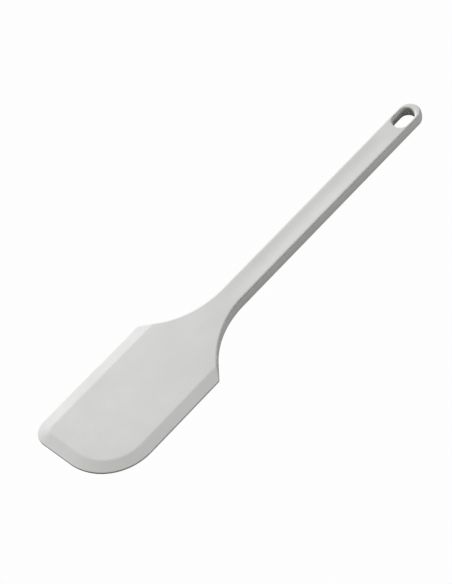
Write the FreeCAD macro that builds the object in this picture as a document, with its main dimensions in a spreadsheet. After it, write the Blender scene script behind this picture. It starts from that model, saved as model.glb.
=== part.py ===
import FreeCAD, Part
import math
import os

import Sketcher

# Kitchen spatula: a nylon stiffener moulded inside a one-piece silicone body.
#
# Frame: +X runs from the blade's tip to the hanging end, +Z is up out of the
# blade's face, and the origin is under the middle of the whole length.
# All lengths are millimetres.

os.makedirs("parts", exist_ok=True)
doc = FreeCAD.newDocument("spatula")
V = FreeCAD.Vector

# ---------------------------------------------------------------- dimensions
SIZES = [
    ("overall_length", 280.0, "blade tip to the end of the handle"),
    ("blade_width", 60.0, "across the blade"),
    ("blade_length", 82.0, "tip to the shoulder corners"),
    ("blade_thickness", 3.6, "blade at its flat middle"),
    ("rim_thickness", 1.0, "blade at its wiping edge"),
    ("bevel_width", 6.9, "slope from the flat down to the wiping edge"),
    ("plate_overlap", 12.9, "shoulder corner to the plate's hidden end inside the neck"),
    ("small_corner", 10.0, "radius of the tighter tip corner"),
    ("large_corner", 30.0, "radius of the wide tip corner"),
    ("shoulder_angle", 45.0, "shoulder line against the handle's axis, degrees"),
    ("neck_radius", 52.0, "sweep from the shoulder into the handle"),
    ("handle_width", 14.4, "across the handle"),
    ("handle_thickness", 7.0, "through the handle"),
    ("ramp_length", 39.0, "stretch over which the neck thickens"),
    ("ramp_end", 127.0, "tip to the end of the thickening"),
    ("side_rounding", 1.3, "rounding along the neck and the handle"),
    ("slot_width", 9.2, "hanging slot, across"),
    ("slot_length", 14.2, "hanging slot, along the handle"),
    ("slot_wall", 4.4, "slot's end to the handle's end"),
    ("slot_rounding", 0.9, "rounding of the slot's rims"),
    ("dish_depth", 0.2, "hollow along the handle's broad faces"),
    ("dish_radius", 62.0, "radius of that hollow, across the handle"),
    ("dish_start", 131.0, "tip to the near end of the hollow"),
    ("dish_end", 248.0, "tip to the far end of the hollow"),
    ("core_bar_width", 10.4, "stiffener inside the handle, across"),
    ("core_bar_thickness", 3.6, "stiffener inside the handle, through"),
    ("core_tongue_width", 38.0, "stiffener inside the blade, across"),
    ("core_tongue_thickness", 1.4, "stiffener inside the blade, through"),
    ("core_tip", 24.0, "blade tip to the front of the stiffener"),
    ("core_tail", 257.0, "blade tip to the back of the stiffener"),
    ("core_neck_radius", 40.0, "sweep of the stiffener from tongue to bar"),
    ("core_shoulder", 86.0, "blade tip to the stiffener's shoulder corners"),
    ("core_corner", 8.0, "radius of the stiffener's front corners"),
    ("anchor_hole", 6.0, "holes the silicone flows through"),
    ("anchor_pitch_x", 16.0, "spacing of those holes along the blade"),
    ("anchor_pitch_y", 20.0, "spacing of those holes across the blade"),
    ("anchor_first", 38.0, "blade tip to the first row of holes"),
]
sheet = doc.addObject("Spreadsheet::Sheet", "sizes")
SIZE = {}
for row, (name, value, words) in enumerate(SIZES, start=1):
    sheet.set("A%d" % row, name)
    sheet.set("B%d" % row, str(value))
    sheet.set("C%d" % row, words)
    sheet.setAlias("B%d" % row, name)
    SIZE[name] = value
doc.recompute()


def ref(text):
    """An expression that reads names like @blade_width from the sheet."""
    return text.replace("@", "sizes.")


def origin_plane(body, role):
    for feature in body.Origin.OriginFeatures:
        if feature.Role == role:
            return feature
    raise RuntimeError("no plane " + role)


def new_sketch(body, name, role):
    sketch = body.newObject("Sketcher::SketchObject", name)
    sketch.AttachmentSupport = (origin_plane(body, role), [""])
    sketch.MapMode = "FlatFace"
    return sketch


def line(sketch, a, b):
    return sketch.addGeometry(Part.LineSegment(V(a[0], a[1], 0), V(b[0], b[1], 0)), False)


def arc(sketch, centre, radius, start, end):
    """Counter-clockwise arc between two angles in degrees."""
    circle = Part.Circle(V(centre[0], centre[1], 0), V(0, 0, 1), radius)
    return sketch.addGeometry(
        Part.ArcOfCircle(circle, math.radians(start), math.radians(end)), False)


def rule(sketch, *args):
    return sketch.addConstraint(Sketcher.Constraint(*args))


def driven(sketch, expression, *args):
    """A dimension on the sketch that follows the sheet."""
    index = rule(sketch, *args)
    sketch.setExpression("Constraints[%d]" % index, ref(expression))
    return index


def check(obj, volume=None):
    doc.recompute()
    bad = [s for s in obj.State if s in ("Invalid", "Error")]
    if bad or obj.Shape.isNull() or not obj.Shape.isValid():
        raise RuntimeError("%s failed: %s" % (obj.Name, obj.State))
    if volume is not None and not volume(obj.Shape.Volume):
        raise RuntimeError("%s has an unexpected volume %.1f" % (obj.Name, obj.Shape.Volume))
    return obj


# --------------------------------------------------- outline shared by both
def spatula_outline(sketch, tip, half_wide, half_bar, radius, tail, shoulder_x, words):
    """Blade, 45 degree shoulders, swept neck and round-ended bar, seen from above."""
    slope = math.radians(SIZE["shoulder_angle"])
    # neck arc: tangent to the shoulder line and to the bar's side
    drop = half_wide - half_bar - radius * (1 - math.cos(slope))
    tangent_x = shoulder_x + drop / math.tan(slope)
    tangent_y = half_wide - drop
    neck_x = tangent_x + radius * math.sin(slope)
    degrees = SIZE["shoulder_angle"]

    front = line(sketch, (tip, -half_wide), (tip, half_wide))
    left = line(sketch, (tip, half_wide), (shoulder_x, half_wide))
    left_slope = line(sketch, (shoulder_x, half_wide), (tangent_x, tangent_y))
    left_neck = arc(sketch, (neck_x, half_bar + radius), radius, 270 - degrees, 270)
    left_bar = line(sketch, (neck_x, half_bar), (tail - half_bar, half_bar))
    end = arc(sketch, (tail - half_bar, 0), half_bar, -90, 90)
    right_bar = line(sketch, (tail - half_bar, -half_bar), (neck_x, -half_bar))
    right_neck = arc(sketch, (neck_x, -half_bar - radius), radius, 90, 90 + degrees)
    right_slope = line(sketch, (tangent_x, -tangent_y), (shoulder_x, -half_wide))
    right = line(sketch, (shoulder_x, -half_wide), (tip, -half_wide))

    rule(sketch, "Coincident", front, 2, left, 1)
    rule(sketch, "Coincident", left, 2, left_slope, 1)
    rule(sketch, "Tangent", left_slope, 2, left_neck, 1)
    rule(sketch, "Tangent", left_neck, 2, left_bar, 1)
    rule(sketch, "Tangent", left_bar, 2, end, 2)
    rule(sketch, "Tangent", end, 1, right_bar, 1)
    rule(sketch, "Tangent", right_bar, 2, right_neck, 1)
    rule(sketch, "Tangent", right_neck, 2, right_slope, 1)
    rule(sketch, "Coincident", right_slope, 2, right, 1)
    rule(sketch, "Coincident", right, 2, front, 1)
    rule(sketch, "Horizontal", left)
    rule(sketch, "Horizontal", left_bar)
    rule(sketch, "Horizontal", right_bar)
    rule(sketch, "Symmetric", front, 1, front, 2, -1)
    rule(sketch, "Symmetric", left, 2, right, 1, -1)
    rule(sketch, "PointOnObject", end, 3, -1)
    driven(sketch, words["tip"], "DistanceX", front, 1, -1, 1, -tip)
    driven(sketch, words["wide"], "DistanceY", front, 1, front, 2, 2 * half_wide)
    driven(sketch, words["blade"], "DistanceX", left, 1, left, 2, shoulder_x - tip)
    driven(sketch, words["end_radius"], "Radius", end, half_bar)
    driven(sketch, words["tail"], "DistanceX", -1, 1, end, 3, tail - half_bar)
    driven(sketch, words["radius"], "Radius", left_neck, radius)
    rule(sketch, "Symmetric", left_slope, 2, right_slope, 1, -1)
    driven(sketch, "@shoulder_angle * -1 deg", "Angle", left_slope, -slope)
    solved(sketch)


def corners(sketch):
    """Where the sketch's lines and arcs start, and where its circles have their centres."""
    return [g.StartPoint if hasattr(g, "StartPoint") else g.Center for g in sketch.Geometry]


def solved(sketch):
    """The sketch keeps its drawn shape once its rules are solved."""
    before = corners(sketch)
    status = sketch.solve()
    if status != 0:
        raise RuntimeError("sketch %s has no solution: %s" % (sketch.Name, status))
    doc.recompute()
    moved = max(a.distanceToPoint(b) for a, b in zip(before, corners(sketch)))
    if moved > 0.05:
        raise RuntimeError("sketch %s moved by %.3f mm" % (sketch.Name, moved))


def edges_where(shape, test):
    """Names of the edges whose sampled points all pass a test."""
    names = []
    for number, edge in enumerate(shape.Edges, start=1):
        if all(test(p) for p in edge.discretize(5)):
            names.append("Edge%d" % number)
    if not names:
        raise RuntimeError("no edge found")
    return names


def finish_edges(body, kind, name, names, **values):
    """A fillet or chamfer on named edges of the body's newest feature."""
    base = body.Tip
    feature = body.newObject("PartDesign::" + kind, name)
    feature.Base = (base, names)
    for key, value in values.items():
        if isinstance(value, str) and value.startswith("@"):
            feature.setExpression(key, ref(value))
        else:
            setattr(feature, key, value)
    body.Tip = feature
    return check(feature)


def mirrored(body, feature, name):
    """Repeats a cut on the underside."""
    copy = body.newObject("PartDesign::Mirrored", name)
    copy.Originals = [feature]
    copy.MirrorPlane = (origin_plane(body, "XY_Plane"), [""])
    body.Tip = copy
    return check(copy, lambda v: v < feature.Shape.Volume - 1.0)


def plan_pad(body, name, thickness, **outline):
    """Pads the plan outline, half above and half below the body's own XY plane."""
    sketch = new_sketch(body, name + "_plan", "XY_Plane")
    spatula_outline(sketch, **outline)
    return symmetric_pad(body, name + "_pad", sketch, thickness)


def symmetric_pad(body, name, sketch, thickness):
    before = body.Tip.Shape.Volume if body.Tip else 0.0
    pad = body.newObject("PartDesign::Pad", name)
    pad.Profile = sketch
    pad.SideType = "Symmetric"
    pad.setExpression("Length", ref(thickness))
    body.Tip = pad
    return check(pad, lambda v: v > before + 1000.0)


def through_cut(body, name, sketch, least, most):
    """Cuts the sketch through the whole body; the volume lost lies between two bounds."""
    before = body.Tip.Shape.Volume
    pocket = body.newObject("PartDesign::Pocket", name)
    pocket.Profile = sketch
    pocket.Type = "ThroughAll"
    pocket.SideType = "Symmetric"
    body.Tip = pocket
    return check(pocket, lambda v: before - most < v < before - least)


def thin_the_blade(body, name, face, bar, start_x, start_text, face_text, bar_text):
    """Cuts the blade side down and leaves an S-shaped ramp up to the bar."""
    sketch = new_sketch(body, name + "_profile", "XZ_Plane")
    reach = SIZE["overall_length"]
    length = SIZE["ramp_length"]
    rise = bar - face
    bend = (length ** 2 + rise ** 2) / (4.0 * rise)
    sweep = math.degrees(math.asin(length / 2.0 / bend))
    end_x = start_x + length
    top = bar + 4.0
    flat = line(sketch, (-reach, face), (start_x, face))
    low = arc(sketch, (start_x, face + bend), bend, 270, 270 + sweep)
    high = arc(sketch, (end_x, bar - bend), bend, 90, 90 + sweep)
    rim = line(sketch, (end_x, bar), (end_x, top))
    away = line(sketch, (end_x, top), (-reach, top))
    back = line(sketch, (-reach, top), (-reach, face))
    rule(sketch, "Tangent", flat, 2, low, 1)
    rule(sketch, "Tangent", low, 2, high, 2)
    rule(sketch, "Coincident", high, 1, rim, 1)
    rule(sketch, "Coincident", rim, 2, away, 1)
    rule(sketch, "Coincident", away, 2, back, 1)
    rule(sketch, "Coincident", back, 2, flat, 1)
    rule(sketch, "Horizontal", flat)
    rule(sketch, "Horizontal", away)
    rule(sketch, "Vertical", rim)
    rule(sketch, "Vertical", back)
    rule(sketch, "Vertical", high, 3, high, 1)
    rule(sketch, "Equal", low, high)
    driven(sketch, start_text, "DistanceX", flat, 2, -1, 1, -start_x)
    driven(sketch, face_text, "DistanceY", -1, 1, flat, 2, face)
    driven(sketch, bar_text, "DistanceY", -1, 1, high, 1, bar)
    driven(sketch, "@ramp_length", "DistanceX", low, 1, high, 1, length)
    driven(sketch, "@overall_length", "DistanceX", flat, 1, -1, 1, reach)
    rule(sketch, "DistanceY", rim, 1, rim, 2, top - bar)
    solved(sketch)
    pocket = through_cut(body, name + "_top", sketch, 1.0, 1e5)
    return mirrored(body, pocket, name + "_both")


def outer_form():
    """The silicone's outside: blade, neck and handle with its hanging slot."""
    half_length = SIZE["overall_length"] / 2.0
    half_thick = SIZE["handle_thickness"] / 2.0
    face = SIZE["blade_thickness"] / 2.0
    ridge_end = SIZE["blade_length"] + SIZE["bevel_width"] - half_length
    body = doc.addObject("PartDesign::Body", "outer_form")
    blade(body, half_length, face)
    plan_pad(
        body, "neck", "@handle_thickness", tip=ridge_end - 20.0,
        half_wide=SIZE["blade_width"] / 2.0 - SIZE["bevel_width"],
        half_bar=SIZE["handle_width"] / 2.0, radius=SIZE["neck_radius"], tail=half_length,
        shoulder_x=ridge_end,
        words=dict(tip="@overall_length / 2 - @blade_length - @bevel_width + 20",
                   wide="@blade_width - 2 * @bevel_width", blade="20",
                   end_radius="@handle_width / 2",
                   tail="@overall_length / 2 - @handle_width / 2", radius="@neck_radius"))
    thin_the_blade(
        body, "neck", face, half_thick,
        SIZE["ramp_end"] - SIZE["ramp_length"] - half_length,
        "@overall_length / 2 - @ramp_end + @ramp_length", "@blade_thickness / 2",
        "@handle_thickness / 2")
    for name, side in (("upper_rounding", 1), ("lower_rounding", -1)):
        edge = edges_where(body.Tip.Shape, lambda p: abs(p.z - side * half_thick) < 0.01
                           and abs(p.y - SIZE["handle_width"] / 2.0) < 0.01)
        finish_edges(body, "Fillet", name, edge[:1], Radius="@side_rounding")
    slot(body, half_length)
    hollow(body, "hollow", half_length, half_thick)
    return body


def blade(body, half_length, face):
    """The flat plate with its round corners, bevels and slanting shoulders."""
    half_wide = SIZE["blade_width"] / 2.0
    shoulder_x = SIZE["blade_length"] - half_length
    plate_end = shoulder_x + SIZE["plate_overlap"]
    sketch = new_sketch(body, "blade_plan", "XY_Plane")
    front = line(sketch, (-half_length, -half_wide), (-half_length, half_wide))
    left = line(sketch, (-half_length, half_wide), (plate_end, half_wide))
    back = line(sketch, (plate_end, half_wide), (plate_end, -half_wide))
    right = line(sketch, (plate_end, -half_wide), (-half_length, -half_wide))
    for a, b in ((front, left), (left, back), (back, right), (right, front)):
        rule(sketch, "Coincident", a, 2, b, 1)
    rule(sketch, "Symmetric", front, 1, front, 2, -1)
    rule(sketch, "Vertical", back)
    rule(sketch, "Horizontal", left)
    rule(sketch, "Horizontal", right)
    driven(sketch, "@overall_length / 2", "DistanceX", front, 1, -1, 1, half_length)
    driven(sketch, "@blade_width", "DistanceY", front, 1, front, 2, 2 * half_wide)
    driven(sketch, "@blade_length + @plate_overlap", "DistanceX", left, 1, left, 2,
           plate_end + half_length)
    solved(sketch)
    symmetric_pad(body, "blade_plate", sketch, "@blade_thickness")
    for name, side in (("small_corner", 1), ("large_corner", -1)):
        corner = edges_where(body.Tip.Shape, lambda p: abs(p.x + half_length) < 0.01
                             and abs(p.y - side * half_wide) < 0.01)
        finish_edges(body, "Fillet", name + "_round", corner, Radius="@" + name)
    for name, z in (("upper_bevel", face), ("lower_bevel", -face)):
        edge = edges_where(body.Tip.Shape, lambda p: abs(p.x + half_length) < 0.01
                           and abs(p.z - z) < 0.01)
        finish_edges(body, "Chamfer", name, edge[:1], ChamferType="Two distances",
                     FlipDirection=True, Size="@bevel_width",
                     Size2="@blade_thickness / 2 - @rim_thickness / 2")
    shoulders(body, half_wide, shoulder_x)


def shoulders(body, half_wide, shoulder_x):
    """Cuts the plate's two back corners off along the shoulder lines."""
    size = SIZE["plate_overlap"]
    end = shoulder_x + size
    slope = math.radians(SIZE["shoulder_angle"])
    sketch = new_sketch(body, "shoulder_plan", "XY_Plane")
    for side in (1, -1):
        wide = side * half_wide
        low = wide - side * size * math.tan(slope)
        slant = line(sketch, (shoulder_x, wide), (end, low))
        back = line(sketch, (end, low), (end, wide))
        edge = line(sketch, (end, wide), (shoulder_x, wide))
        rule(sketch, "Coincident", slant, 2, back, 1)
        rule(sketch, "Coincident", back, 2, edge, 1)
        rule(sketch, "Coincident", edge, 2, slant, 1)
        rule(sketch, "Vertical", back)
        rule(sketch, "Horizontal", edge)
        driven(sketch, "@overall_length / 2 - @blade_length", "DistanceX", edge, 2, -1, 1,
               -shoulder_x)
        driven(sketch, "@plate_overlap", "DistanceX", edge, 2, edge, 1, size)
        driven(sketch, "%d deg * @shoulder_angle" % -side, "Angle", slant, -side * slope)
        if side > 0:
            driven(sketch, "@blade_width / 2", "DistanceY", -1, 1, back, 2, half_wide)
        else:
            driven(sketch, "@blade_width / 2", "DistanceY", back, 2, -1, 1, half_wide)
    solved(sketch)
    through_cut(body, "shoulder_cut", sketch, 20.0, 1000.0)


def slot(body, half_length):
    """The hanging slot through the end of the handle, with rounded rims."""
    radius = SIZE["slot_width"] / 2.0
    far = half_length - SIZE["slot_wall"] - radius
    near = far - (SIZE["slot_length"] - SIZE["slot_width"])
    sketch = new_sketch(body, "slot_plan", "XY_Plane")
    upper = line(sketch, (near, radius), (far, radius))
    lower = line(sketch, (near, -radius), (far, -radius))
    right = arc(sketch, (far, 0), radius, -90, 90)
    left = arc(sketch, (near, 0), radius, 90, 270)
    rule(sketch, "Tangent", upper, 2, right, 2)
    rule(sketch, "Tangent", right, 1, lower, 2)
    rule(sketch, "Tangent", lower, 1, left, 2)
    rule(sketch, "Tangent", left, 1, upper, 1)
    rule(sketch, "Horizontal", upper)
    rule(sketch, "PointOnObject", right, 3, -1)
    driven(sketch, "@slot_width / 2", "Radius", right, radius)
    driven(sketch, "@overall_length / 2 - @slot_wall - @slot_width / 2",
           "DistanceX", -1, 1, right, 3, far)
    driven(sketch, "@slot_length - @slot_width", "DistanceX", left, 3, right, 3, far - near)
    solved(sketch)
    through_cut(body, "slot_cut", sketch, 300.0, 1500.0)
    half_thick = SIZE["handle_thickness"] / 2.0
    rims = edges_where(body.Tip.Shape, lambda p: abs(abs(p.z) - half_thick) < 0.01
                       and abs(p.y) < radius + 0.01 and near - radius - 0.01 < p.x < far + radius + 0.01)
    finish_edges(body, "Fillet", "slot_rims", rims, Radius="@slot_rounding")


def hollow(body, name, half_length, half_thick):
    """A very shallow hollow along the handle's broad face, run out at both ends."""
    radius = SIZE["dish_radius"]
    run_out = math.sqrt(radius ** 2 - (radius - SIZE["dish_depth"]) ** 2)
    start = SIZE["dish_start"] - half_length + run_out
    end = SIZE["dish_end"] - half_length - run_out
    sketch = new_sketch(body, name + "_profile", "XZ_Plane")
    height = half_thick - SIZE["dish_depth"] + radius
    sketch.AttachmentOffset = FreeCAD.Placement(V(0, height, 0), FreeCAD.Rotation())
    sketch.setExpression("AttachmentOffset.Base.y",
                         ref("@handle_thickness / 2 - @dish_depth + @dish_radius"))
    near = arc(sketch, (start, 0), radius, 180, 270)
    floor = line(sketch, (start, -radius), (end, -radius))
    far = arc(sketch, (end, 0), radius, 270, 360)
    axis = line(sketch, (end + radius, 0), (start - radius, 0))
    rule(sketch, "Tangent", near, 2, floor, 1)
    rule(sketch, "Tangent", floor, 2, far, 1)
    rule(sketch, "Coincident", far, 2, axis, 1)
    rule(sketch, "Coincident", axis, 2, near, 1)
    rule(sketch, "Horizontal", floor)
    rule(sketch, "PointOnObject", near, 3, -1)
    rule(sketch, "PointOnObject", axis, 1, -1)
    rule(sketch, "PointOnObject", axis, 2, -1)
    driven(sketch, "@dish_radius", "Radius", near, radius)
    driven(sketch, "@dish_end - @dish_start - 2 * sqrt(2 * @dish_radius * @dish_depth"
           " - @dish_depth * @dish_depth)", "DistanceX", near, 3, far, 3, end - start)
    if start < 0:
        driven(sketch, "@overall_length / 2 - @dish_start - sqrt(2 * @dish_radius * @dish_depth"
               " - @dish_depth * @dish_depth)", "DistanceX", near, 3, -1, 1, -start)
    solved(sketch)
    before = body.Tip.Shape.Volume
    groove = body.newObject("PartDesign::Groove", name)
    groove.Profile = sketch
    groove.ReferenceAxis = (sketch, ["H_Axis"])
    groove.Angle = 360.0
    body.Tip = groove
    check(groove, lambda v: before - 400 < v < before - 20)
    return mirrored(body, groove, name + "_both")


def nylon_core():
    """The stiffener: a bar in the handle widening into a thin tongue in the blade."""
    half_length = SIZE["overall_length"] / 2.0
    tip = SIZE["core_tip"] - half_length
    body = doc.addObject("PartDesign::Body", "nylon_core")
    body.Label = "nylon_core"
    half_bar = SIZE["core_bar_width"] / 2.0
    tail = SIZE["core_tail"] - half_length
    plan_pad(
        body, "core", "@core_bar_thickness", tip=tip,
        half_wide=SIZE["core_tongue_width"] / 2.0, half_bar=half_bar,
        radius=SIZE["core_neck_radius"], tail=tail,
        shoulder_x=SIZE["core_shoulder"] - half_length,
        words=dict(tip="@overall_length / 2 - @core_tip", wide="@core_tongue_width",
                   blade="@core_shoulder - @core_tip", end_radius="@core_bar_width / 2",
                   tail="@core_tail - @overall_length / 2 - @core_bar_width / 2",
                   radius="@core_neck_radius"))
    for name, side in (("front_left", 1), ("front_right", -1)):
        corner = edges_where(body.Tip.Shape, lambda p: abs(p.x - tip) < 0.01
                             and abs(p.y - side * SIZE["core_tongue_width"] / 2.0) < 0.01)
        finish_edges(body, "Fillet", name + "_round", corner, Radius="@core_corner")
    thin_the_blade(
        body, "tongue", SIZE["core_tongue_thickness"] / 2.0, SIZE["core_bar_thickness"] / 2.0,
        SIZE["ramp_end"] - SIZE["ramp_length"] - half_length,
        "@overall_length / 2 - @ramp_end + @ramp_length", "@core_tongue_thickness / 2",
        "@core_bar_thickness / 2")
    sketch = new_sketch(body, "anchor_holes", "XY_Plane")
    radius = SIZE["anchor_hole"] / 2.0
    first = None
    for column in range(3):
        x = SIZE["anchor_first"] + column * SIZE["anchor_pitch_x"] - half_length
        pair = []
        for side in (1, -1):
            y = side * SIZE["anchor_pitch_y"] / 2.0
            hole = sketch.addGeometry(Part.Circle(V(x, y, 0), V(0, 0, 1), radius), False)
            pair.append(hole)
            if first is None:
                first = hole
                driven(sketch, "@anchor_hole / 2", "Radius", hole, radius)
            else:
                rule(sketch, "Equal", first, hole)
        rule(sketch, "Symmetric", pair[0], 3, pair[1], 3, -1)
        driven(sketch, "@anchor_pitch_y", "DistanceY", pair[1], 3, pair[0], 3, 2 * abs(y))
        driven(sketch, "@overall_length / 2 - @anchor_first - %d * @anchor_pitch_x" % column,
               "DistanceX", pair[0], 3, -1, 1, -x)
    solved(sketch)
    through_cut(body, "anchor_cut", sketch, 100.0, 500.0)
    return body


def lift(body):
    """Stands the body so that the handle's underside is at height zero."""
    body.setExpression("Placement.Base.z", ref("@handle_thickness / 2"))


form = outer_form()
core = nylon_core()
lift(form)
lift(core)
doc.recompute()

# the silicone is the outer form with the stiffener's space taken out of it
silicone = doc.addObject("Part::Cut", "silicone_body")
silicone.Label = "silicone_body"
silicone.Base = form
silicone.Tool = core
check(silicone, lambda v: v > 0.5 * form.Shape.Volume)

for part in (silicone, core):
    check(part)
for obj in doc.Objects:
    if any(word in ("Invalid", "Error") for word in obj.State):
        raise RuntimeError("%s is %s" % (obj.Name, obj.State))
for part in (silicone, core):
    part.Shape.exportStep("parts/%s.step" % part.Label)
    box = part.Shape.optimalBoundingBox()
    print(part.Label, len(part.Shape.Solids), round(part.Shape.Volume, 1),
          [round(c, 3) for c in (box.XMin, box.YMin, box.ZMin, box.XMax, box.YMax, box.ZMax)])
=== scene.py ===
import math

import bpy
import numpy as np
from mathutils import Matrix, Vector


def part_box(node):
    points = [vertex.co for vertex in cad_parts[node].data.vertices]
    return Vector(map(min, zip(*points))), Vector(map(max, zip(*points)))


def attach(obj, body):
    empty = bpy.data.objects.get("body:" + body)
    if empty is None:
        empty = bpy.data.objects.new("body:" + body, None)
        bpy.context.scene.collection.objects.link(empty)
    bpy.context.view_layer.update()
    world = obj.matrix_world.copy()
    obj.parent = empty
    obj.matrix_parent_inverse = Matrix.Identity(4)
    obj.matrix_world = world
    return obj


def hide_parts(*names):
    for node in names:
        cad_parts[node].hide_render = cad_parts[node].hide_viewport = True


# Silicone spatula lying on a pale table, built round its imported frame.
#
# Lengths in the shape functions are millimetres in the row frame: +X runs from the blade's tip
# to the hanging end, +Z is up, and "along" lengths are counted from the tip. "Across" is the
# distance from the middle line, whichever the side. Only the finished mesh is in metres.

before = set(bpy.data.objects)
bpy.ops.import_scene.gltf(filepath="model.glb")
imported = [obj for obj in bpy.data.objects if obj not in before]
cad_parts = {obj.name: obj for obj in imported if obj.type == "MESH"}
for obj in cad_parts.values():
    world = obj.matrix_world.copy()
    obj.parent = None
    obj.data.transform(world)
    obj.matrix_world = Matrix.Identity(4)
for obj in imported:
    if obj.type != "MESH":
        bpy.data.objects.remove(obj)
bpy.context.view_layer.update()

MM = 0.001
LOW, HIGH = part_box("silicone_body")
TIP = LOW.x / MM
TAIL = HIGH.x / MM
HALF_BLADE = (HIGH.y - LOW.y) / 2 / MM
MIDDLE_Y = (HIGH.y + LOW.y) / 2 / MM
HALF_THICK = (HIGH.z - LOW.z) / 2 / MM
MIDDLE_Z = (HIGH.z + LOW.z) / 2 / MM

# the blade
BLADE_LENGTH = 82.0
TIGHT_CORNER = 10.0
WIDE_CORNER = 30.0
BEVEL_WIDTH = 6.9
HALF_RIM = 0.5
HALF_PLATE = 1.8
SHOULDER_ROUND = 1.3
SHOULDER_ANGLE = 45.0
RIDGE_SOFTNESS = 0.12
# the neck and the handle
HALF_BAR = 7.2
NECK_RADIUS = 52.0
RAMP_START = 88.0
RAMP_END = 127.0
EDGE_SHARE = 0.9
EDGE_ROUND = 1.6
DRAFT = math.tan(math.radians(5.0))
DISH_DEPTH = 0.26
DISH_HALF_WIDTH = 5.2
DISH_START = 106.0
DISH_FULL = 155.0
DISH_FADE = 244.0
DISH_END = 256.0
# the hanging slot
SLOT_HALF = 4.6
SLOT_NEAR = 266.0
SLOT_FAR = 271.0
SLOT_ROUND = 1.3
SLOT_MARGIN = 3.0
# mesh columns along the outline, stretch by stretch from the tip to the hanging end
TIP_COLUMNS = 56
SIDE_COLUMNS = 22
SHOULDER_COLUMNS = 9
SLANT_COLUMNS = 16
SWEEP_COLUMNS = 34
BAR_COLUMNS = 46
BEFORE_SLOT_COLUMNS = 19
END_COLUMNS = 60
# lengths of handle before the slot over which the columns fan out and the rows regroup
FAN_LENGTH = 37.0
REGROUP_LENGTH = 45.0
# mesh rows from the parting line to the middle line, and how near two of them flank the ridge
WALL_ROWS = 4
ROUND_ROWS = 9
FACE_ROWS = 30
RIDGE_FLANK = 1.2
WELD = 0.001

SLOT_START = TIP + SLOT_NEAR - SLOT_HALF - SLOT_MARGIN


# ---------------------------------------------------------------- plan of the outline

def smooth_step(value, start, end):
    """0 before start, 1 after end, and the cubic 3u^2 - 2u^3 between them."""
    u = np.clip((value - start) / (end - start), 0.0, 1.0)
    return u * u * (3.0 - 2.0 * u)


def evenly(points, count):
    """A polyline sampled at equal steps of its own length."""
    steps = np.hypot(*np.diff(points, axis=0).T)
    length = np.concatenate([[0.0], np.cumsum(steps)])
    wanted = np.linspace(0.0, length[-1], count)
    return np.stack([np.interp(wanted, length, points[:, k]) for k in (0, 1)], axis=1)


def arc(centre, radius, start, end, count=80):
    """Points at centre + radius times (cos, sin) of angles from start to end, in degrees."""
    angle = np.radians(np.linspace(start, end, count))
    return np.stack([centre[0] + radius * np.cos(angle), centre[1] + radius * np.sin(angle)], 1)


def half_plan(corner):
    """Half of the outline, from the middle of the tip edge to the end of the handle.

    A straight tip edge, the corner's arc, the side, a small arc at the shoulder, the slanting
    shoulder, the neck's sweep tangent to both of its neighbours, the handle's side, and a
    quarter circle at the end. Returns the outline, where each column of the mesh starts, the
    inner ends of the columns, and how many of them end on the slot. The inner ends are one
    point on the blade's middle line for the tip, then the middle line, then the slot's edge.
    """
    pole = TIP + WIDE_CORNER
    shoulder = TIP + BLADE_LENGTH
    slant_angle = math.radians(SHOULDER_ANGLE)
    turn = SHOULDER_ROUND * math.tan(slant_angle / 2)
    fall = HALF_BLADE - HALF_BAR - NECK_RADIUS * (1 - math.cos(slant_angle))
    neck_start = shoulder + fall / math.tan(slant_angle)
    neck_end = neck_start + NECK_RADIUS * math.sin(slant_angle)

    tip = evenly(np.concatenate([
        [[TIP, 0.0]], arc((TIP + corner, HALF_BLADE - corner), corner, 180, 90),
        [[pole, HALF_BLADE]]]), TIP_COLUMNS)
    side = evenly(np.array([[pole, HALF_BLADE], [shoulder - turn, HALF_BLADE]]), SIDE_COLUMNS)
    knuckle = arc((shoulder - turn, HALF_BLADE - SHOULDER_ROUND), SHOULDER_ROUND,
                  90, 90 - SHOULDER_ANGLE, SHOULDER_COLUMNS)
    slant = evenly(np.array([knuckle[-1], [neck_start, HALF_BLADE - fall]]), SLANT_COLUMNS)
    sweep = arc((neck_end, HALF_BAR + NECK_RADIUS), NECK_RADIUS,
                270 - SHOULDER_ANGLE, 270, SWEEP_COLUMNS)
    dense = SLOT_START - 2 * SLOT_MARGIN
    bar = np.concatenate([
        evenly(np.array([[neck_end, HALF_BAR], [dense, HALF_BAR]]), BAR_COLUMNS),
        evenly(np.array([[dense, HALF_BAR], [SLOT_START, HALF_BAR]]), BEFORE_SLOT_COLUMNS)[1:]])
    end = evenly(np.concatenate([
        [bar[-1]], arc((TAIL - HALF_BAR, 0.0), HALF_BAR, 90, 0)]), END_COLUMNS)
    slot = np.concatenate([
        arc((TIP + SLOT_NEAR, 0.0), SLOT_HALF, 180, 90),
        arc((TIP + SLOT_FAR, 0.0), SLOT_HALF, 90, 0)])

    outline = np.concatenate([tip, side[1:], knuckle[1:], slant[1:], sweep[1:], bar[1:], end[1:]])
    inner = outline.copy()
    inner[:, 1] = 0.0
    inner[:len(tip)] = (pole, 0.0)
    # the columns fan out gently so that the last one before the slot reaches its edge
    inner[:, 0] += SLOT_MARGIN * smooth_step(inner[:, 0], SLOT_START - FAN_LENGTH, SLOT_START)
    inner[-len(end):] = evenly(slot, len(end))
    return outline, inner, len(end)


def inward(outline):
    """Unit normals of the outline that point to the inside: its direction turned by 90 degrees."""
    tangent = np.gradient(outline, axis=0)
    tangent[0] = (0.0, 1.0)
    tangent[-1] = (0.0, -1.0)
    tangent /= np.hypot(*tangent.T)[:, None]
    return np.stack([tangent[:, 1], -tangent[:, 0]], axis=1)


# ---------------------------------------------------------------- heights above mid-thickness

def soft_least(a, b, reach):
    """The smaller of two heights, less (reach - |a - b|)^2 / (4 reach) where they are close."""
    near = np.maximum(reach - np.abs(a - b), 0.0)
    return np.minimum(a, b) - near * near / (4.0 * reach)


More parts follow.
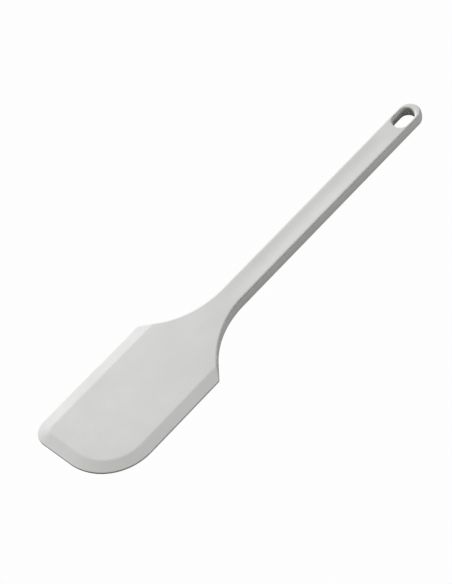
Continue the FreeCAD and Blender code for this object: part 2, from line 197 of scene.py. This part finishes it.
def rim_distance(x, across, corner):
    """Distance inside the wiping edge: the least of side and tip, or the corner's arc."""
    from_side = HALF_BLADE - across
    from_tip = x - TIP
    from_arc = corner - np.hypot(x - TIP - corner, across - HALF_BLADE + corner)
    in_corner = (from_side < corner) & (from_tip < corner)
    return np.where(in_corner, from_arc, np.minimum(from_side, from_tip))


def plate_height(x, across, corner):
    """Half thickness before any rounding: the softer least of the face and the bevel.

    The face is a cubic step from the plate's half thickness to the handle's. The bevel rises
    from the rim's half thickness in proportion to the distance from the wiping edge.
    """
    ramp = smooth_step(x, TIP + RAMP_START, TIP + RAMP_END)
    face = HALF_PLATE + (HALF_THICK - HALF_PLATE) * ramp
    slope = (HALF_PLATE - HALF_RIM) / BEVEL_WIDTH
    bevel = HALF_RIM + slope * rim_distance(x, across, corner)
    return soft_least(face, bevel, RIDGE_SOFTNESS)


def rounded_drop(distance, radius):
    """Drop of a quarter-round edge: radius - sqrt(radius^2 - (radius - distance)^2)."""
    left = np.clip(radius - distance, 0.0, radius)
    return radius - np.sqrt(radius * radius - left * left)


def handle_hollow(x, across):
    """Depth of the handle's hollow: a smooth bowl across, faded in and out along its length."""
    bowl = np.maximum(1.0 - (across / DISH_HALF_WIDTH) ** 2, 0.0) ** 1.5
    begins = smooth_step(x, TIP + DISH_START, TIP + DISH_FULL)
    ends = smooth_step(x, TIP + DISH_FADE, TIP + DISH_END)
    return DISH_DEPTH * bowl * begins * (1.0 - ends)


def slot_distance(x, across):
    """Distance outside the slot's wall: from the nearest point of its middle, less its radius."""
    nearest = np.clip(x, TIP + SLOT_NEAR, TIP + SLOT_FAR)
    return np.hypot(x - nearest, across) - SLOT_HALF


# ---------------------------------------------------------------- the silicone body's surface

def rows_across(outline, inner, start, corner):
    """Where the face rows lie, as shares of each column from its rounded edge inwards.

    On the blade the rows gather on both sides of the bevel's ridge: they run straight between
    four knots, at the edge, just before the ridge, just past it and at the inner end. By the
    slot they follow a sine, so that they gather at its rim.
    """
    run = inner - start
    length = np.hypot(*run.T)
    share = np.linspace(0.0, 1.0, 201)
    probe = start[:, None, :] + run[:, None, :] * share[None, :, None]
    ridge = share[np.argmax(rim_distance(probe[..., 0], probe[..., 1], corner) > BEVEL_WIDTH, 1)]
    beside = RIDGE_FLANK / np.maximum(length, 4.0)
    knots = np.stack([np.zeros_like(ridge), np.clip(ridge - beside, 0.10, 0.90),
                      np.clip(ridge + beside, 0.22, 0.95), np.ones_like(ridge)], axis=1)
    row = np.linspace(0.0, 1.0, FACE_ROWS + 1)[1:]
    knot_rows = np.array([0.0, 0.3, 0.6, 1.0])
    span = np.clip(np.searchsorted(knot_rows, row, side="right") - 1, 0, 2)
    part = (row - knot_rows[span]) / (knot_rows[span + 1] - knot_rows[span])
    by_ridge = knots[:, span] * (1 - part) + knots[:, span + 1] * part
    by_slot = np.sin(row * math.pi / 2)[None, :]
    near_slot = smooth_step(outline[:, 0], SLOT_START - REGROUP_LENGTH, SLOT_START)[:, None]
    return by_ridge * (1 - near_slot) + by_slot * near_slot


def half_surface(corner):
    """Upper half of one side as a grid: columns along the outline, rows from parting line in.

    Each column climbs the drafted wall, turns over the edge on a quarter circle, whose inset
    is radius (1 - cos) and whose drop is radius (1 - sin), and crosses the face to the inner
    end. Returns (columns, rows, 4): x, across, height, and the distance in from the edge,
    and the number of columns that end on the slot.
    """
    outline, inner, slot_columns = half_plan(corner)
    edge = plate_height(outline[:, 0], outline[:, 1], corner)
    radius = np.minimum(EDGE_SHARE * edge, EDGE_ROUND)[:, None]
    lean = DRAFT * (edge[:, None] - radius)
    climb = np.linspace(0.0, 1.0, WALL_ROWS + 1)[None, :]
    angle = np.linspace(0.0, math.pi / 2, ROUND_ROWS + 1)[None, 1:]
    inset = np.concatenate([lean * climb, lean + radius * (1 - np.cos(angle))], axis=1)
    plan = outline[:, None, :] + inward(outline)[:, None, :] * inset[:, :, None]

    start = plan[:, -1, :]
    run = (inner - start)[:, None, :]
    share = rows_across(outline, inner, start, corner)[:, :, None]
    plan = np.concatenate([plan, start[:, None, :] + run * share], axis=1)
    reach = inset[:, -1:] + share[..., 0] * np.hypot(run[..., 0], run[..., 1])
    inset = np.concatenate([inset, reach], axis=1)
    x, across = plan[..., 0], plan[..., 1]
    from_slot = slot_distance(x, across)
    height = (plate_height(x, across, corner) - handle_hollow(x, across)
              - rounded_drop(from_slot, SLOT_ROUND) - rounded_drop(inset - lean, radius))
    height[:, :WALL_ROWS] = height[:, WALL_ROWS:WALL_ROWS + 1] * climb[:, :-1]
    from_edge = np.minimum(inset, np.maximum(from_slot, 0.0))
    return np.stack([x, across, height, from_edge], axis=2), slot_columns


def slot_wall(rim):
    """The slot's wall: straight down from its rim to the parting line, in equal steps."""
    fall = np.linspace(1.0, 0.0, WALL_ROWS + 3)
    wall = np.repeat(rim[:, None, :], len(fall), axis=1)
    wall[..., 2] *= fall
    return wall


def grid_quads(columns, rows, first, flip):
    """Quads of a grid whose vertices are numbered row by row within each column."""
    corner = first + (np.arange(columns - 1)[:, None] * rows + np.arange(rows - 1)[None, :])
    quads = np.stack([corner, corner + rows, corner + rows + 1, corner + 1], axis=-1)
    quads = quads.reshape(-1, 4)
    return quads[:, ::-1] if flip else quads


def silicone_mesh():
    """Both sides and both faces of the body, joined along the rows and columns they share.

    One half of the outline has the tight corner and lies at +Y, the other has the wide corner
    and lies at -Y. Each upper half is mirrored in height for the underside. Points within a
    thousandth of a millimetre become one. Returns points in metres, quads, and the distance
    in from the edge.
    """
    points, quads, first = [], [], 0
    for corner, side in ((TIGHT_CORNER, 1.0), (WIDE_CORNER, -1.0)):
        upper, slot_columns = half_surface(corner)
        for sheet in (upper, slot_wall(upper[-slot_columns:, -1, :])):
            for face in (1.0, -1.0):
                grid = sheet.copy()
                grid[..., 1] = MIDDLE_Y + side * grid[..., 1]
                grid[..., 2] = MIDDLE_Z + face * grid[..., 2]
                columns, rows = grid.shape[:2]
                quads.append(grid_quads(columns, rows, first, side * face > 0))
                points.append(grid.reshape(-1, 4))
                first += columns * rows
    points = np.concatenate(points)
    keys = np.round(points[:, :3] / WELD).astype(np.int64)
    _, kept, place = np.unique(keys, axis=0, return_index=True, return_inverse=True)
    quads = place.reshape(-1)[np.concatenate(quads)]
    return points[kept, :3] * MM, quads, points[kept, 3]


def clean_faces(quads):
    """Quads with a repeated corner become triangles, and thinner ones are dropped."""
    same = quads == np.roll(quads, -1, axis=1)
    full = quads[~same.any(axis=1)]
    pinched = quads[same.sum(axis=1) == 1]
    repeat = np.argmax(same[same.sum(axis=1) == 1], axis=1)
    order = (repeat[:, None] + np.arange(1, 4)[None, :]) % 4
    triangles = np.take_along_axis(pinched, order, axis=1)
    whole = ((triangles[:, 0] != triangles[:, 1]) & (triangles[:, 1] != triangles[:, 2])
             & (triangles[:, 2] != triangles[:, 0]))
    flat = (full[:, 0] != full[:, 2]) & (full[:, 1] != full[:, 3])
    return full[flat].tolist() + triangles[whole].tolist()


def new_piece(name, points, faces, material):
    """A smooth-shaded object at the origin with its place in its mesh."""
    mesh = bpy.data.meshes.new(name)
    mesh.from_pydata(points.tolist(), [], faces)
    mesh.polygons.foreach_set("use_smooth", np.ones(len(mesh.polygons), bool))
    mesh.materials.append(material)
    mesh.update()
    piece = bpy.data.objects.new(name, mesh)
    bpy.context.scene.collection.objects.link(piece)
    return piece


# ---------------------------------------------------------------- materials

def start_material(name):
    """A new node material, with its nodes, its links and its shader."""
    material = bpy.data.materials.new(name)
    material.use_nodes = True
    nodes = material.node_tree.nodes
    return material, nodes, material.node_tree.links, nodes["Principled BSDF"]


def noise(nodes, links, where, scale, detail, roughness=0.5):
    """Cloudy noise on the given coordinates; scale is in patches to the metre."""
    node = nodes.new("ShaderNodeTexNoise")
    node.inputs["Scale"].default_value = scale
    node.inputs["Detail"].default_value = detail
    node.inputs["Roughness"].default_value = roughness
    links.new(where, node.inputs["Vector"])
    return node.outputs["Fac"]


def spread(nodes, links, value, low, high, to_low, to_high, smooth=False):
    """Value carried from the range low..high to the range to_low..to_high and kept inside it."""
    node = nodes.new("ShaderNodeMapRange")
    node.interpolation_type = "SMOOTHSTEP" if smooth else "LINEAR"
    for socket, number in zip(("From Min", "From Max", "To Min", "To Max"),
                              (low, high, to_low, to_high)):
        node.inputs[socket].default_value = number
    links.new(value, node.inputs["Value"])
    return node.outputs["Result"]


def tint(nodes, links, amount, one, other):
    """Colour between one and other; both may be colours or colour sockets."""
    node = nodes.new("ShaderNodeMix")
    node.data_type = "RGBA"
    links.new(amount, node.inputs["Factor"])
    for name, colour in (("A", one), ("B", other)):
        socket = [s for s in node.inputs if s.name == name and s.type == "RGBA"][0]
        if isinstance(colour, tuple):
            socket.default_value = (*colour, 1.0)
        else:
            links.new(colour, socket)
    return [s for s in node.outputs if s.type == "RGBA"][0]


def bumped(nodes, links, height, distance, strength, under=None):
    """A bump of so many metres at full height, laid over another one if given."""
    node = nodes.new("ShaderNodeBump")
    node.inputs["Distance"].default_value = distance
    node.inputs["Strength"].default_value = strength
    links.new(height, node.inputs["Height"])
    if under is not None:
        links.new(under, node.inputs["Normal"])
    return node.outputs["Normal"]


def combine(nodes, links, operation, a, b):
    """One Math node on two sockets, or on a socket and a number."""
    node = nodes.new("ShaderNodeMath")
    node.operation = operation
    for socket, value in zip(node.inputs, (a, b)):
        if isinstance(value, float):
            socket.default_value = value
        else:
            links.new(value, socket)
    return node.outputs["Value"]


SILICONE_PALE = (0.536, 0.535, 0.524)
SILICONE_DEEP = (0.506, 0.506, 0.494)
SILICONE_RUBBED = (0.565, 0.565, 0.556)
# patterns in patches to the metre
CLOUDS = 26.0
FLECKS = 1100.0
RUBBED_PATCHES = 130.0
SHINE_PATCHES = 60.0
MOULD_WAVES = 38.0
MOULD_GRAIN = 2600.0
# heights and widths in metres, except the rubbed edge's, in millimetres like from_edge
WAVE_HEIGHT = 0.00030
GRAIN_HEIGHT = 0.000012
SEAM_HEIGHT = 0.00006
SEAM_HALF_WIDTH = 0.00016
RUBBED_WIDTH = 2.2


def moulded_silicone():
    """Matte grey silicone rubber: faint clouds of pigment, blasted-mould grain, a parting line.

    The edges are rubbed a shade lighter and smoother, unevenly. The parting line is a low bead
    at mid-thickness, where the two halves of the mould met.
    """
    material, nodes, links, shader = start_material("matte_grey_silicone")
    place = nodes.new("ShaderNodeTexCoord").outputs["Object"]
    edge = nodes.new("ShaderNodeAttribute")
    edge.attribute_name = "from_edge"

    clouds = spread(nodes, links, noise(nodes, links, place, CLOUDS, 4.0, 0.55),
                    0.32, 0.68, 0.0, 1.0)
    flecks = noise(nodes, links, place, FLECKS, 2.0)
    patchy = noise(nodes, links, place, RUBBED_PATCHES, 3.0)
    rubbed = combine(nodes, links, "MULTIPLY",
                     spread(nodes, links, edge.outputs["Fac"], 0.0, RUBBED_WIDTH, 1.0, 0.0,
                            smooth=True),
                     spread(nodes, links, patchy, 0.38, 0.62, 0.15, 0.75))

    height = nodes.new("ShaderNodeSeparateXYZ")
    links.new(place, height.inputs["Vector"])
    off_middle = combine(nodes, links, "ABSOLUTE", combine(
        nodes, links, "SUBTRACT", height.outputs["Z"], MIDDLE_Z * MM), 0.0)
    bead = spread(nodes, links, off_middle, 0.0, SEAM_HALF_WIDTH, 1.0, 0.0, smooth=True)

    colour = tint(nodes, links, clouds, SILICONE_DEEP, SILICONE_PALE)
    fleck_amount = spread(nodes, links, flecks, 0.5, 0.75, 0.0, 0.4)
    colour = tint(nodes, links, fleck_amount, colour, SILICONE_DEEP)
    colour = tint(nodes, links, rubbed, colour, SILICONE_RUBBED)
    colour = tint(nodes, links, combine(nodes, links, "MULTIPLY", bead, 0.5),
                  colour, SILICONE_RUBBED)
    links.new(colour, shader.inputs["Base Color"])

    matte = spread(nodes, links, noise(nodes, links, place, SHINE_PATCHES, 5.0, 0.6),
                   0.3, 0.7, 0.66, 0.56)
    matte = combine(nodes, links, "SUBTRACT", matte,
                    combine(nodes, links, "MULTIPLY", rubbed, 0.06))
    links.new(matte, shader.inputs["Roughness"])

    waves = bumped(nodes, links, noise(nodes, links, place, MOULD_WAVES, 2.0), WAVE_HEIGHT, 0.35)
    grain = bumped(nodes, links, noise(nodes, links, place, MOULD_GRAIN, 3.0, 0.6),
                   GRAIN_HEIGHT, 0.25, under=waves)
    seam = bumped(nodes, links, bead, SEAM_HEIGHT, 0.8, under=grain)
    links.new(seam, shader.inputs["Normal"])

    shader.inputs["IOR"].default_value = 1.41
    shader.inputs["Sheen Weight"].default_value = 0.04
    shader.inputs["Sheen Roughness"].default_value = 0.6
    return material


NYLON_PALE = (0.60, 0.585, 0.545)
NYLON_DEEP = (0.47, 0.455, 0.415)
NYLON_STREAKS = 420.0
NYLON_SPECKLE = 1800.0
STREAK_DRAW = 0.08


def moulded_nylon():
    """Natural nylon with short glass fibres: drawn-out streaks, speckle and a waxy skin."""
    material, nodes, links, shader = start_material("natural_nylon")
    place = nodes.new("ShaderNodeTexCoord").outputs["Object"]
    # streaks follow the way the plastic flowed, along X, so X counts for less than Y and Z
    drawn = nodes.new("ShaderNodeVectorMath")
    drawn.operation = "MULTIPLY"
    drawn.inputs[1].default_value = (STREAK_DRAW, 1.0, 1.0)
    links.new(place, drawn.inputs[0])
    streaks = noise(nodes, links, drawn.outputs["Vector"], NYLON_STREAKS, 4.0, 0.6)
    speckle = noise(nodes, links, place, NYLON_SPECKLE, 2.0)
    colour = tint(nodes, links, spread(nodes, links, streaks, 0.35, 0.65, 0.0, 1.0),
                  NYLON_DEEP, NYLON_PALE)
    colour = tint(nodes, links, spread(nodes, links, speckle, 0.6, 0.75, 0.0, 0.4),
                  colour, NYLON_PALE)
    links.new(colour, shader.inputs["Base Color"])
    links.new(spread(nodes, links, streaks, 0.3, 0.7, 0.48, 0.34), shader.inputs["Roughness"])
    skin = bumped(nodes, links, streaks, 0.00008, 0.5)
    links.new(bumped(nodes, links, speckle, 0.00003, 0.4, under=skin), shader.inputs["Normal"])
    shader.inputs["IOR"].default_value = 1.53
    return material


# ---------------------------------------------------------------- the object

points, quads, from_edge = silicone_mesh()
body = new_piece("silicone_spatula_body", points, clean_faces(quads), moulded_silicone())
depth = body.data.attributes.new("from_edge", "FLOAT", "POINT")
depth.data.foreach_set("value", from_edge.astype(np.float32))
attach(body, "root")
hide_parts("silicone_body")

core = bpy.data.objects["nylon_core"]
nylon = moulded_nylon()
for slot in core.material_slots:
    slot.material = nylon

# ---------------------------------------------------------------- stage and lights

TABLE_HALF = 6.0
TABLE_LEVEL = -0.0001
TABLE_GLOW = 0.985
UNDERLAY = 0.15


def table_sheet(name, colour, glow):
    """A square of table just under the object, with a colour and a glow."""
    mesh = bpy.data.meshes.new(name)
    corners = [(-1, -1), (1, -1), (1, 1), (-1, 1)]
    mesh.from_pydata([(x * TABLE_HALF, y * TABLE_HALF, TABLE_LEVEL) for x, y in corners], [],
                     [(0, 1, 2, 3)])
    material, _, _, shader = start_material(name)
    shader.inputs["Base Color"].default_value = (colour, colour, colour, 1.0)
    shader.inputs["Roughness"].default_value = 0.9
    shader.inputs["Specular IOR Level"].default_value = 0.0
    shader.inputs["Emission Color"].default_value = (1.0, 1.0, 1.0, 1.0)
    shader.inputs["Emission Strength"].default_value = glow
    mesh.materials.append(material)
    piece = bpy.data.objects.new(name, mesh)
    bpy.context.scene.collection.objects.link(piece)
    return piece


# the table is lit from inside like a light box, so that no shadow shows on it; a second sheet
# in the same place gives the object the dimmer light that a table in its shadow would
light_table = table_sheet("light_table", 0.0, TABLE_GLOW)
light_table.visible_diffuse = False
light_table.visible_glossy = False
light_table.visible_shadow = False
# it lights nothing, so no light rays are spent on it
light_table.data.materials[0].cycles.emission_sampling = "NONE"
underlay = table_sheet("table_underlay", UNDERLAY, 0.0)
underlay.visible_camera = False

world = bpy.data.worlds.new("studio")
bpy.context.scene.world = world
world.use_nodes = True
world.node_tree.nodes["Background"].inputs["Color"].default_value = (1.0, 1.0, 1.0, 1.0)
world.node_tree.nodes["Background"].inputs["Strength"].default_value = TABLE_GLOW
# the backdrop is as pale as the table and, like it, lights nothing
world.cycles_visibility.diffuse = False
world.cycles_visibility.glossy = False


def pose_matrix(axes, place):
    """The 4x4 whose columns are the right, up and backward directions and a place."""
    matrix = np.eye(4)
    matrix[:3, :3] = np.stack(axes, axis=1)
    matrix[:3, 3] = place
    return Matrix(matrix.tolist())


def view_axes(azimuth, elevation, roll=0.0):
    """Right, up and backward of a view, in degrees: azimuth 0 looks along +Y, 90 along -X."""
    a, e, r = (math.radians(v) for v in (azimuth, elevation, roll))
    right = np.array([math.cos(a), math.sin(a), 0.0])
    ahead = np.array([-math.sin(a) * math.cos(e), math.cos(a) * math.cos(e), -math.sin(e)])
    up = np.cross(right, ahead)
    return (right * math.cos(r) - up * math.sin(r), right * math.sin(r) + up * math.cos(r),
            -ahead)


def soft_box(name, azimuth, elevation, energy, height, width=0.8, distance=2.0):
    """An oval soft box that looks at the object from an azimuth and an elevation."""
    light = bpy.data.lights.new(name, "AREA")
    light.shape = "ELLIPSE"
    light.size = width
    light.size_y = height
    light.energy = energy
    lamp = bpy.data.objects.new(name, light)
    bpy.context.scene.collection.objects.link(lamp)
    axes = view_axes(azimuth, elevation)
    lamp.matrix_world = pose_matrix(axes, axes[2] * distance)
    lamp.visible_camera = False
    return lamp


soft_box("key", azimuth=173.0, elevation=37.0, energy=74.5, height=1.5)
soft_box("fill", azimuth=25.0, elevation=7.0, energy=25.0, height=0.8)

# ---------------------------------------------------------------- camera

VIEW_AZIMUTH = -32.563
VIEW_ELEVATION = 52.439
VIEW_ROLL = 18.831
VIEW_DISTANCE = 1.1185
VIEW_RIGHT = -0.01318
VIEW_UP = -0.0070
FRAME_HEIGHT = 36.0
FOCAL_LENGTH = 130.08

axes = view_axes(VIEW_AZIMUTH, VIEW_ELEVATION, VIEW_ROLL)
middle = np.array((LOW + HIGH) / 2)
camera_data = bpy.data.cameras.new("camera")
camera_data.sensor_fit = "VERTICAL"
camera_data.sensor_height = FRAME_HEIGHT
camera_data.lens = FOCAL_LENGTH
camera = bpy.data.objects.new("camera", camera_data)
bpy.context.scene.collection.objects.link(camera)
camera.matrix_world = pose_matrix(
    axes, middle + axes[0] * VIEW_RIGHT + axes[1] * VIEW_UP + axes[2] * VIEW_DISTANCE)
bpy.context.scene.camera = camera
bpy.context.scene.view_settings.view_transform = "Standard"
